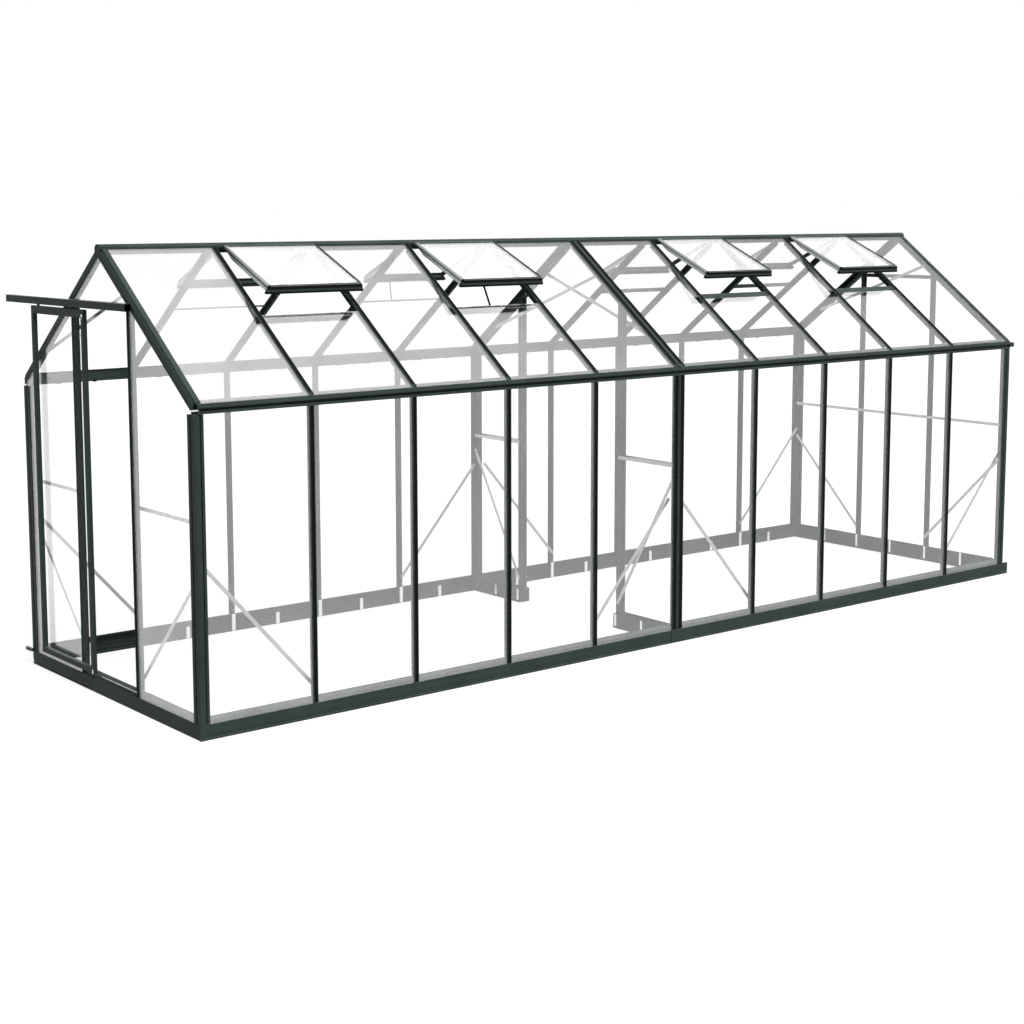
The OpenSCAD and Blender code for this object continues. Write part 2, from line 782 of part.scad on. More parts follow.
module leaf_frame() {
    height = door_head_z - door_bottom;
    door_place() translate([-door_t / 2, -door_w / 2, door_bottom]) difference() {
        cube([door_t, door_w, height]);
        translate([-1, stile_w, kick_w])
            cube([door_t + 2, door_w - 2 * stile_w, height - head_w - kick_w]);
    }
}

module leaf_sheet() {
    door_place() translate([-sheet_t / 2, -door_w / 2 + stile_w + fit, door_bottom + kick_w + fit])
        cube([sheet_t, door_w - 2 * stile_w - 2 * fit,
              door_head_z - door_bottom - head_w - kick_w - 2 * fit]);
}

module rollers() {
    for (s = [-1, 1]) door_place() translate([0, s * (door_w / 2 - 70), 0]) {
        translate([-1.5, -15, door_head_z + fit]) cube([3, 30, track_z - door_head_z + wall_t + roller_r]);
        translate([-6, 0, track_z + wall_t + fit + roller_r]) rotate([0, 90, 0])
            cylinder(h = 12, r = roller_r);
    }
}

// ---------------------------------------------------------------- nodes

module base_front_near() { color(frame_green) placed() base_side(true, true); }
module base_front_far() { color(frame_green) placed() base_side(true, false); }
module base_back_near() { color(frame_green) placed() base_side(false, true); }
module base_back_far() { color(frame_green) placed() base_side(false, false); }
module base_gable_near() { color(frame_green) placed() base_gable(true); }
module base_gable_far() { color(frame_green) placed() base_gable(false); }
module base_partition() { color(frame_green) placed() partition_stubs(); }
module base_joint_plates() { color(frame_green) placed() joint_plates(); }
module base_cleats() { color(zinc_grey) placed() cleats(); }
module corner_posts() { color(frame_green) placed() four_corner_posts(); }
module wall_bars_front() { color(frame_green) placed() wall_bars(true); }
module wall_bars_back() { color(frame_green) placed() wall_bars(false); }
module joint_posts() { color(frame_green) placed() four_joint_posts(); }
module door_posts() { color(frame_green) placed() gable_posts(true); }
module far_gable_posts() { color(frame_green) placed() gable_posts(false); }
module partition_posts() { color(frame_green) placed() partition_uprights(); }
module eave_front() { color(frame_green) placed() eave_beams(true); }
module eave_back() { color(frame_green) placed() eave_beams(false); }
module ridge_beam() { color(frame_green) placed() ridge_beams(); }
module roof_bars_front() { color(frame_green) placed() roof_bars(true); }
module roof_bars_back() { color(frame_green) placed() roof_bars(false); }
module gable_rafters() { color(frame_green) placed() four_gable_rafters(); }
module joint_rafters() { color(frame_green) placed() four_joint_rafters(); }
module gable_rails() { color(zinc_grey) placed() gable_strips(); }
module partition_rails() { color(zinc_grey) placed() partition_strips(); }
module wall_braces() { color(zinc_grey) placed() wall_brace_strips(); }
module gable_braces() { color(zinc_grey) placed() gable_brace_strips(); }
module partition_braces() { color(zinc_grey) placed() partition_brace_strips(); }
module truss_braces() { color(zinc_grey) placed() truss_brace_strips(); }
module gable_headers() { color(frame_green) placed() headers(); }
module wall_glazing_front() { color(sheet_clear) placed() wall_sheets(true); }
module wall_glazing_back() { color(sheet_clear) placed() wall_sheets(false); }
module roof_glazing_front() { color(sheet_clear) placed() roof_sheets(true); }
module roof_glazing_back() { color(sheet_clear) placed() roof_sheets(false); }
module gable_glazing_near() { color(sheet_clear) placed() gable_sheets(true); }
module gable_glazing_far() { color(sheet_clear) placed() gable_sheets(false); }
module vent_frames_front() { color(frame_green) placed() vent_frames(true); }
module vent_frames_back() { color(frame_green) placed() vent_frames(false); }
module vent_glazing() { color(sheet_clear) placed() vent_sheets(); }
module vent_sills() { color(frame_green) placed() sills(); }
module vent_stays() { color(black_plastic) placed() stays(); }
module door_track() { color(frame_green) placed() track(); }
module door_frame() { color(frame_green) placed() leaf_frame(); }
module door_glazing() { color(sheet_clear) placed() leaf_sheet(); }
module door_rollers() { color(black_plastic) placed() rollers(); }

base_front_near();
base_front_far();
base_back_near();
base_back_far();
base_gable_near();
base_gable_far();
base_partition();
base_joint_plates();
base_cleats();
corner_posts();
wall_bars_front();
wall_bars_back();
joint_posts();
door_posts();
far_gable_posts();
partition_posts();
eave_front();
eave_back();
ridge_beam();
roof_bars_front();
roof_bars_back();
gable_rafters();
joint_rafters();
gable_rails();
partition_rails();
wall_braces();
gable_braces();
partition_braces();
truss_braces();
gable_headers();
wall_glazing_front();
wall_glazing_back();
roof_glazing_front();
roof_glazing_back();
gable_glazing_near();
gable_glazing_far();
vent_frames_front();
vent_frames_back();
vent_glazing();
vent_sills();
vent_stays();
door_track();
door_frame();
door_glazing();
door_rollers();
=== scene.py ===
"""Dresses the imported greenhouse: the finish of its bars and sheets, its fixings and its studio.

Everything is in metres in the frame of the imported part: X runs along the ridge away
from the door gable, Y runs across, and Z is up from the ground.
"""

from __future__ import annotations

import logging
import math
from collections.abc import Mapping, Sequence
from dataclasses import dataclass, field
from enum import Enum

import bmesh
import bpy
from mathutils import Matrix, Vector

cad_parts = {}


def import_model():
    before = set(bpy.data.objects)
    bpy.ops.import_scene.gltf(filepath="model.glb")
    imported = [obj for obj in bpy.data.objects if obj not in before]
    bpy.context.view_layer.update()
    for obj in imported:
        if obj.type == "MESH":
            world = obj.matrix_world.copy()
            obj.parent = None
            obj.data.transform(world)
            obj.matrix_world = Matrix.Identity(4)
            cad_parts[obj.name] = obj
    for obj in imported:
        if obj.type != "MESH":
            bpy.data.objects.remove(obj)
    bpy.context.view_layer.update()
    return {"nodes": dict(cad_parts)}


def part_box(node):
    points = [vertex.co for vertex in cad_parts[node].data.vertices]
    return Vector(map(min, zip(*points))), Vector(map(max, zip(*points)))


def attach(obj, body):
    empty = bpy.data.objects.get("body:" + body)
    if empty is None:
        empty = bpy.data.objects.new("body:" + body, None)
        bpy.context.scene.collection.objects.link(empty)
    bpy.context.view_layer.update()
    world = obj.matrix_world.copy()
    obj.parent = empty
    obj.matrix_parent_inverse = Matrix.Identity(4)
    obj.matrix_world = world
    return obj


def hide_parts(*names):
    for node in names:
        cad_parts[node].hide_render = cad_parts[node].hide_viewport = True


LOG = logging.getLogger("greenhouse")
MM = 0.001
DOOR_BODY = "door"

Outline = Sequence[tuple[float, float]]


# ---------------------------------------------------------------- shader helpers


def linear(hex_colour: str) -> tuple[float, float, float, float]:
    """Turns an sRGB hex colour into linear light.

    Args:
        hex_colour: The colour as "#rrggbb".

    Returns:
        Red, green, blue and an alpha of 1.
    """
    parts = [int(hex_colour[i : i + 2], 16) / 255 for i in (1, 3, 5)]
    light = [c / 12.92 if c <= 0.04045 else ((c + 0.055) / 1.055) ** 2.4 for c in parts]
    return (light[0], light[1], light[2], 1.0)


def add(
    tree: bpy.types.NodeTree,
    kind: str,
    settings: Mapping[str, object] | None = None,
    inputs: Mapping[str | int, object] | None = None,
) -> bpy.types.Node:
    """Adds a node to a tree, sets it up and links it.

    Args:
        tree: The shader or geometry tree.
        kind: The node's type name.
        settings: The node's own properties by name.
        inputs: Values, or sockets to link from, by the input's name or number.

    Returns:
        The new node.
    """
    node = tree.nodes.new(kind)
    for name, value in (settings or {}).items():
        setattr(node, name, value)
    for name, value in (inputs or {}).items():
        if isinstance(value, bpy.types.NodeSocket):
            tree.links.new(value, node.inputs[name])
        else:
            node.inputs[name].default_value = value
    return node


def new_material(name: str) -> tuple[bpy.types.Material, bpy.types.NodeTree, bpy.types.Node]:
    """Makes an empty material.

    Args:
        name: The material's name.

    Returns:
        The material, its tree and its output node.
    """
    material = bpy.data.materials.new(name)
    material.use_nodes = True
    tree = material.node_tree
    tree.nodes.clear()
    return material, tree, tree.nodes.new("ShaderNodeOutputMaterial")


class Run(Enum):
    """The way that an extrusion runs, as the turn in degrees that takes X to it."""

    ALONG = (0.0, 0.0, 0.0)
    ACROSS = (0.0, 0.0, 90.0)
    UPRIGHT = (0.0, -90.0, 0.0)
    UP_FRONT_SLOPE = (0.0, -37.3, 90.0)
    UP_BACK_SLOPE = (0.0, -37.3, -90.0)

    def turn(self) -> tuple[float, float, float]:
        """Returns the turn in radians."""
        return tuple(math.radians(v) for v in self.value)


# ---------------------------------------------------------------- finishes


@dataclass(frozen=True)
class PowderCoat:
    """Satin polyester powder coat on extruded aluminium, baked on.

    It gives a dark green that turns lighter where it faces the sky, partly as dust and partly
    as a painted highlight of the light on top faces, with faint die lines along each bar and a
    fine orange peel.
    """

    name: str = "satin_powder_coat"
    colour: str = "#35413e"
    pale: str = "#414d4a"
    # A pale grey-green for dust, and for the painted highlight on top faces.
    dust_and_highlight: str = "#87928e"
    mottle_mm: float = 240.0
    die_line_mm: float = 5.0
    die_line_length_mm: float = 1500.0
    peel_mm: float = 2.5
    roughness: float = 0.42
    gloss_share: float = 0.05

    def material(self, run: Run) -> bpy.types.Material:
        """Builds the coat for extrusions that run one way.

        Args:
            run: The way that the bars run.

        Returns:
            The material.
        """
        material, tree, out = new_material(f"{self.name}_{run.name.lower()}")
        place = add(tree, "ShaderNodeTexCoord").outputs["Object"]
        along = add(
            tree,
            "ShaderNodeMapping",
            {"vector_type": "TEXTURE"},
            {
                "Vector": place,
                "Rotation": run.turn(),
                "Scale": (self.die_line_length_mm / self.die_line_mm, 1.0, 1.0),
            },
        )
        lines = add(
            tree,
            "ShaderNodeTexNoise",
            {},
            {"Vector": along.outputs[0], "Scale": 1 / (self.die_line_mm * MM), "Detail": 2.0},
        )
        mottle = add(
            tree,
            "ShaderNodeTexNoise",
            {},
            {"Vector": place, "Scale": 1 / (self.mottle_mm * MM), "Detail": 4.0},
        )
        blend = add(
            tree,
            "ShaderNodeMath",
            {"operation": "MULTIPLY"},
            {0: mottle.outputs["Fac"], 1: lines.outputs["Fac"]},
        )
        share = add(
            tree,
            "ShaderNodeMapRange",
            {},
            {"Value": blend.outputs[0], "From Min": 0.12, "From Max": 0.42},
        )
        coat = add(
            tree,
            "ShaderNodeMix",
            {"data_type": "RGBA"},
            {0: share.outputs[0], 6: linear(self.colour), 7: linear(self.pale)},
        )
        facing = add(tree, "ShaderNodeNewGeometry").outputs["Normal"]
        height = add(tree, "ShaderNodeSeparateXYZ", {}, {0: facing}).outputs["Z"]
        # Painted highlight: faces turned to the sky are mixed towards the pale colour, partly as dust
        # and partly as the light that falls on them.
        lying = add(
            tree,
            "ShaderNodeMapRange",
            {},
            {"Value": height, "From Min": 0.7, "From Max": 1.0, "To Max": 0.8},
        )
        dust_and_highlight_share = add(
            tree,
            "ShaderNodeMath",
            {"operation": "MULTIPLY"},
            {0: lying.outputs[0], 1: mottle.outputs["Fac"]},
        )
        dust_and_highlight_coat = add(
            tree,
            "ShaderNodeMix",
            {"data_type": "RGBA"},
            {0: dust_and_highlight_share.outputs[0], 6: coat.outputs[2], 7: linear(self.dust_and_highlight)},
        )
        gloss = add(
            tree,
            "ShaderNodeMapRange",
            {},
            {
                "Value": lines.outputs["Fac"],
                "To Min": self.roughness - 0.06,
                "To Max": self.roughness + 0.08,
            },
        )
        peel = add(
            tree,
            "ShaderNodeTexNoise",
            {},
            {"Vector": place, "Scale": 1 / (self.peel_mm * MM), "Detail": 1.0},
        )
        relief = add(
            tree,
            "ShaderNodeMath",
            {"operation": "MULTIPLY_ADD"},
            {0: lines.outputs["Fac"], 1: 0.6, 2: peel.outputs["Fac"]},
        )
        bump = add(
            tree,
            "ShaderNodeBump",
            {},
            {"Strength": 0.12, "Distance": 0.3 * MM, "Height": relief.outputs[0]},
        )
        surface = add(
            tree,
            "ShaderNodeBsdfPrincipled",
            {},
            {
                "Base Color": dust_and_highlight_coat.outputs[2],
                "Roughness": gloss.outputs[0],
                "Specular IOR Level": self.gloss_share,
                "Normal": bump.outputs[0],
            },
        )
        tree.links.new(surface.outputs[0], out.inputs[0])
        return material


@dataclass(frozen=True)
class MillAluminium:
    """Aluminium as it leaves the mill: rolled strip with a soft, cloudy grey shine."""

    name: str = "mill_aluminium"
    colour: str = "#b9bdbc"
    worn: str = "#9aa09e"
    grain_mm: float = 3.0
    roughness: float = 0.38

    def material(self) -> bpy.types.Material:
        """Builds the bare metal.

        Returns:
            The material.
        """
        material, tree, out = new_material(self.name)
        place = add(tree, "ShaderNodeTexCoord").outputs["Object"]
        cloud = add(
            tree,
            "ShaderNodeTexNoise",
            {},
            {"Vector": place, "Scale": 1 / (60 * MM), "Detail": 5.0},
        )
        grain = add(
            tree,
            "ShaderNodeTexNoise",
            {},
            {"Vector": place, "Scale": 1 / (self.grain_mm * MM), "Detail": 3.0},
        )
        colour = add(
            tree,
            "ShaderNodeMix",
            {"data_type": "RGBA"},
            {0: cloud.outputs["Fac"], 6: linear(self.colour), 7: linear(self.worn)},
        )
        gloss = add(
            tree,
            "ShaderNodeMapRange",
            {},
            {
                "Value": cloud.outputs["Fac"],
                "To Min": self.roughness - 0.08,
                "To Max": self.roughness + 0.1,
            },
        )
        bump = add(
            tree,
            "ShaderNodeBump",
            {},
            {"Strength": 0.1, "Distance": 0.2 * MM, "Height": grain.outputs["Fac"]},
        )
        surface = add(
            tree,
            "ShaderNodeBsdfPrincipled",
            {},
            {
                "Base Color": colour.outputs[2],
                "Metallic": 1.0,
                "Roughness": gloss.outputs[0],
                "Normal": bump.outputs[0],
            },
        )
        tree.links.new(surface.outputs[0], out.inputs[0])
        return material


@dataclass(frozen=True)
class ClearSheet:
    """Solid extruded polycarbonate, clear and glossy, with painted glare.

    It is see-through with a weak mirror of the bright sky on both faces, which pales
    what stands behind it. glare_near and glare_far are the mirror's share at the door gable
    and at the far end: a painted reflection of glare that fades along the ridge, in patches.
    """

    name: str
    glare_near: float
    glare_far: float
    fade_from_x: float = -3.1
    fade_to_x: float = 0.4
    straight_on: float = 0.03
    grazing: float = 1.0
    roughness: float = 0.06
    glare_patch_mm: float = 420.0

    def material(self) -> bpy.types.Material:
        """Builds the sheet.

        Returns:
            The material.
        """
        material, tree, out = new_material(self.name)
        place = add(tree, "ShaderNodeTexCoord").outputs["Object"]
        along = add(tree, "ShaderNodeSeparateXYZ", {}, {0: place}).outputs["X"]
        # Painted reflection: the mirror's share fades along the ridge from the door gable as glare,
        # and the noise breaks it into patches.
        painted_glare = add(
            tree,
            "ShaderNodeMapRange",
            {},
            {
                "Value": along,
                "From Min": self.fade_from_x,
                "From Max": self.fade_to_x,
                "To Min": self.glare_near,
                "To Max": self.glare_far,
            },
        )
        glare_patches = add(
            tree,
            "ShaderNodeTexNoise",
            {},
            {"Vector": place, "Scale": 1 / (self.glare_patch_mm * MM), "Detail": 3.0},
        )
        glare_patchiness = add(
            tree,
            "ShaderNodeMapRange",
            {},
            {"Value": glare_patches.outputs["Fac"], "To Min": 0.7, "To Max": 1.3},
        )
        patchy_glare = add(
            tree,
            "ShaderNodeMath",
            {"operation": "MULTIPLY"},
            {0: painted_glare.outputs[0], 1: glare_patchiness.outputs[0]},
        )
        tilt = add(tree, "ShaderNodeLayerWeight", {}, {"Blend": 0.5}).outputs["Facing"]
        rim = add(tree, "ShaderNodeMath", {"operation": "POWER"}, {0: tilt, 1: 5.0})
        mirror = add(
            tree,
            "ShaderNodeMath",
            {"operation": "MULTIPLY_ADD"},
            {0: rim.outputs[0], 1: self.grazing - self.straight_on, 2: self.straight_on},
        )
        share = add(
            tree,
            "ShaderNodeMath",
            {"operation": "ADD", "use_clamp": True},
            {0: mirror.outputs[0], 1: patchy_glare.outputs[0]},
        )
        clear = add(tree, "ShaderNodeBsdfTransparent")
        shine = add(
            tree,
            "ShaderNodeBsdfGlossy",
            {},
            {"Color": linear("#ffffff"), "Roughness": self.roughness},
        )
        surface = add(
            tree,
            "ShaderNodeMixShader",
            {},
            {0: share.outputs[0], 1: clear.outputs[0], 2: shine.outputs[0]},
        )
        tree.links.new(surface.outputs[0], out.inputs[0])
        return material


@dataclass(frozen=True)
class BlackNylon:
    """Moulded nylon, black with a fine satin grain."""

    name: str = "black_nylon"
    colour: str = "#17191a"
    roughness: float = 0.5
    gloss_share: float = 0.1

    def material(self) -> bpy.types.Material:
        """Builds the moulded plastic.

        Returns:
            The material.
        """
        material, tree, out = new_material(self.name)
        place = add(tree, "ShaderNodeTexCoord").outputs["Object"]
        grain = add(
            tree,
            "ShaderNodeTexNoise",
            {},
            {"Vector": place, "Scale": 1 / (1.5 * MM), "Detail": 2.0},
        )
        bump = add(
            tree,
            "ShaderNodeBump",
            {},
            {"Strength": 0.15, "Distance": 0.15 * MM, "Height": grain.outputs["Fac"]},
        )
        surface = add(
            tree,
            "ShaderNodeBsdfPrincipled",
            {},
            {
                "Base Color": linear(self.colour),
                "Roughness": self.roughness,
                "Specular IOR Level": self.gloss_share,
                "Normal": bump.outputs[0],
            },
        )
        tree.links.new(surface.outputs[0], out.inputs[0])
        return material


# ---------------------------------------------------------------- lines and solids


@dataclass(frozen=True)
class Layout:
    """The greenhouse's main lines, in metres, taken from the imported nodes.

    The wall lines are 31 mm inside the posts' outer faces, and the eave line is 75 mm
    above the underside of the eave beams.
    """

    start: float
    end: float
    middle: float
    half: float
    eave: float
    joint: float
    bay: float = 0.62
    section_bays: int = 5
    joint_gap: float = 0.04
    pitch: float = 37.3
    shell: float = 0.031

    @classmethod
    def measure(cls) -> Layout:
        """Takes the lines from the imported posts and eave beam.

        Returns:
            The layout.
        """
        low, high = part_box("corner_posts")
        joint_low, joint_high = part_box("joint_posts")
        return cls(
            start=low[0] + cls.shell,
            end=high[0] - cls.shell,
            middle=(low[1] + high[1]) / 2,
            half=(high[1] - low[1]) / 2 - cls.shell,
            eave=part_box("eave_front")[0][2] + 0.075,
            joint=(joint_low[0] + joint_high[0]) / 2,
        )

    def bay_start(self, number: int) -> float:
        """Returns where a bay starts along the ridge.

        Args:
            number: The bay, counted from 0 at the door gable.
        """
        gap = self.joint_gap if number >= self.section_bays else 0.0
        return self.start + number * self.bay + gap

    def bar_lines(self) -> list[float]:
        """Returns the middles of the plain glazing bars along the ridge."""
        bays = range(2 * self.section_bays)
        return [self.bay_start(n) for n in bays if n % self.section_bays]

    def wall(self, front: bool) -> Matrix:
        """Returns the place of a long wall: X along, Y outward, Z up from the ground.

        Args:
            front: Whether it is the wall on the camera's side.
        """
        way = -1.0 if front else 1.0
        turn = Matrix(((1, 0, 0), (0, way, 0), (0, 0, 1))).to_4x4()
        return Matrix.Translation((0, self.middle + way * self.half, 0)) @ turn

    def slope(self, front: bool) -> Matrix:
        """Returns the place of a roof slope: X along, Y up the slope, Z out of it.

        Args:
            front: Whether it is the slope on the camera's side.
        """
        way = -1.0 if front else 1.0
        run = math.cos(math.radians(self.pitch))
        rise = math.sin(math.radians(self.pitch))
        turn = Matrix(((1, 0, 0), (0, -way * run, way * rise), (0, rise, run))).to_4x4()
        return Matrix.Translation((0, self.middle + way * self.half, self.eave)) @ turn


@dataclass
class Former:
    """Collects closed solids, drawn in millimetres in places of their own, in one piece."""

    name: str
    finishes: tuple[bpy.types.Material, ...]
    form: bmesh.types.BMesh = field(default_factory=bmesh.new)

    def prism(
        self,
        place: Matrix,
        outline: Outline,
        start: float,
        end: float,
        finish: int = 0,
        splay: tuple[float, float] = (0.0, 0.0),
    ) -> None:
        """Adds an outline drawn in Y and Z and run along X.

        Args:
            place: The place that it is drawn in.
            outline: The corners as (Y, Z), in millimetres.
            start: Where it starts along X, in millimetres.
            end: Where it ends.
            finish: The number of its material.
            splay: How far each end moves along X for each millimetre of Z.
        """
        rings = []
        for along, slant in ((start, splay[0]), (end, splay[1])):
            corners = [Vector((along + slant * b, a, b)) * MM for a, b in outline]
            rings.append([self.form.verts.new(place @ corner) for corner in corners])
        faces = [self.form.faces.new(ring) for ring in rings]
        count = len(outline)
        for i in range(count):
            j = (i + 1) % count
            faces.append(
                self.form.faces.new((rings[0][i], rings[0][j], rings[1][j], rings[1][i]))
            )
        for face in faces:
            face.material_index = finish

    def block(
        self,
        place: Matrix,
        low: tuple[float, float, float],
        high: tuple[float, float, float],
        finish: int = 0,
    ) -> None:
        """Adds a flat-sided block with its lowest and highest corners.

        Args:
            place: The place that it is drawn in.
            low: Its lowest corner, in millimetres.
            high: Its highest corner.
            finish: The number of its material.
        """
        outline = [(low[1], low[2]), (high[1], low[2]), (high[1], high[2]), (low[1], high[2])]
        self.prism(place, outline, low[0], high[0], finish)

    def piece(
        self, body: str = "root", replaces: tuple[str, ...] = (), bevel: float = 0.0
    ) -> bpy.types.Object:
        """Makes the piece.

        Args:
            body: The body that it rides on.
            replaces: The nodes that it stands for.
            bevel: The width of its rounded edges in millimetres, or 0.

        Returns:
            The piece.
        """
        bmesh.ops.recalc_face_normals(self.form, faces=self.form.faces)
        if bevel > 0:
            bmesh.ops.bevel(
                self.form,
                geom=self.form.edges[:],
                offset=bevel * MM,
                segments=1,
                affect="EDGES",
                clamp_overlap=True,
            )
        mesh = bpy.data.meshes.new(self.name)
        self.form.to_mesh(mesh)
        self.form.free()
        for material in self.finishes:
            mesh.materials.append(material)
        piece = bpy.data.objects.new(self.name, mesh)
        bpy.context.scene.collection.objects.link(piece)
        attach(piece, body)
        if replaces:
            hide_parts(*replaces)
        LOG.info("made %s", self.name)
        return piece


# ---------------------------------------------------------------- the repeated fixings


@dataclass
class Repeater:
    """Repeats one small solid at many spots with one Geometry Nodes tree."""

    tree: bpy.types.NodeTree | None = None

    def build(self) -> bpy.types.NodeTree:
        """Builds the tree: points to instances, made real, with one finish.

        Returns:
            The tree.
        """
        tree = bpy.data.node_groups.new("repeat_at_spots", "GeometryNodeTree")
        face = tree.interface
        face.new_socket("Spots", in_out="INPUT", socket_type="NodeSocketGeometry")
        face.new_socket("Fixing", in_out="INPUT", socket_type="NodeSocketObject")
        face.new_socket("Finish", in_out="INPUT", socket_type="NodeSocketMaterial")
        face.new_socket("Fixings", in_out="OUTPUT", socket_type="NodeSocketGeometry")
        given = tree.nodes.new("NodeGroupInput")
        points = add(tree, "GeometryNodeMeshToPoints", {}, {"Mesh": given.outputs["Spots"]})
        shape = add(tree, "GeometryNodeObjectInfo", {}, {"Object": given.outputs["Fixing"]})
        turn = add(
            tree,
            "GeometryNodeInputNamedAttribute",
            {"data_type": "FLOAT_VECTOR"},
            {"Name": "turn"},
        )
        copies = add(
            tree,
            "GeometryNodeInstanceOnPoints",
            {},
            {
                "Points": points.outputs[0],
                "Instance": shape.outputs["Geometry"],
                "Rotation": turn.outputs["Attribute"],
            },
        )
        real = add(tree, "GeometryNodeRealizeInstances", {}, {0: copies.outputs[0]})
        painted = add(
            tree,
            "GeometryNodeSetMaterial",
            {},
            {"Geometry": real.outputs[0], "Material": given.outputs["Finish"]},
        )
        result = tree.nodes.new("NodeGroupOutput")
        tree.links.new(painted.outputs[0], result.inputs["Fixings"])
        return tree

    def repeat(
        self,
        name: str,
        fixing: bpy.types.Object,
        spots: Sequence[Matrix],
        finish: bpy.types.Material,
        body: str = "root",
    ) -> bpy.types.Object:
        """Makes one piece from a solid repeated at spots.

        Args:
            name: The piece's name.
            fixing: The solid, which is removed by the caller.
            spots: The place of each copy.
            finish: The copies' material.
            body: The body that the piece rides on.

        Returns:
            The piece.
        """
        if self.tree is None:
            self.tree = self.build()
        points = bpy.data.meshes.new(f"{name}_spots")
        points.from_pydata([spot.translation for spot in spots], [], [])
        turns = points.attributes.new("turn", "FLOAT_VECTOR", "POINT")
        for value, spot in zip(turns.data, spots, strict=True):
            value.vector = spot.to_euler()
        holder = bpy.data.objects.new(f"{name}_holder", points)
        bpy.context.scene.collection.objects.link(holder)
        modifier = holder.modifiers.new("repeat", "NODES")
        modifier.node_group = self.tree
        sockets = {i.name: i.identifier for i in self.tree.interface.items_tree}
        modifier[sockets["Fixing"]] = fixing
        modifier[sockets["Finish"]] = finish
        bpy.context.view_layer.update()
        ready = holder.evaluated_get(bpy.context.evaluated_depsgraph_get())
        mesh = bpy.data.meshes.new_from_object(ready)
        bpy.data.objects.remove(holder)
        piece = bpy.data.objects.new(name, mesh)
        bpy.context.scene.collection.objects.link(piece)
        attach(piece, body)
        LOG.info("made %s, %d copies", name, len(spots))
        return piece


# ---------------------------------------------------------------- studio


@dataclass(frozen=True)
class Viewpoint:
    """Where the camera stands and how it looks, in metres and degrees."""

    place: tuple[float, float, float] = (-7.1319, -8.22, 2.482)
    heading: float = 37.786
    downward: float = 7.075
    roll: float = -0.232
    lens_mm: float = 61.96
    shift: tuple[float, float] = (0.0427, -0.0765)

    def camera(self) -> bpy.types.Object:
        """Makes the scene's camera.

        Returns:
            The camera object.
        """
        data = bpy.data.cameras.new("viewpoint")
        data.lens = self.lens_mm
        data.shift_x, data.shift_y = self.shift
        data.clip_end = 200.0
        camera = bpy.data.objects.new("viewpoint", data)
        camera.matrix_world = (
            Matrix.Translation(self.place)
            @ Matrix.Rotation(math.radians(-self.heading), 4, "Z")
            @ Matrix.Rotation(math.radians(90 - self.downward), 4, "X")
            @ Matrix.Rotation(math.radians(self.roll), 4, "Z")
        )
        bpy.context.scene.collection.objects.link(camera)
        bpy.context.scene.camera = camera
        return camera


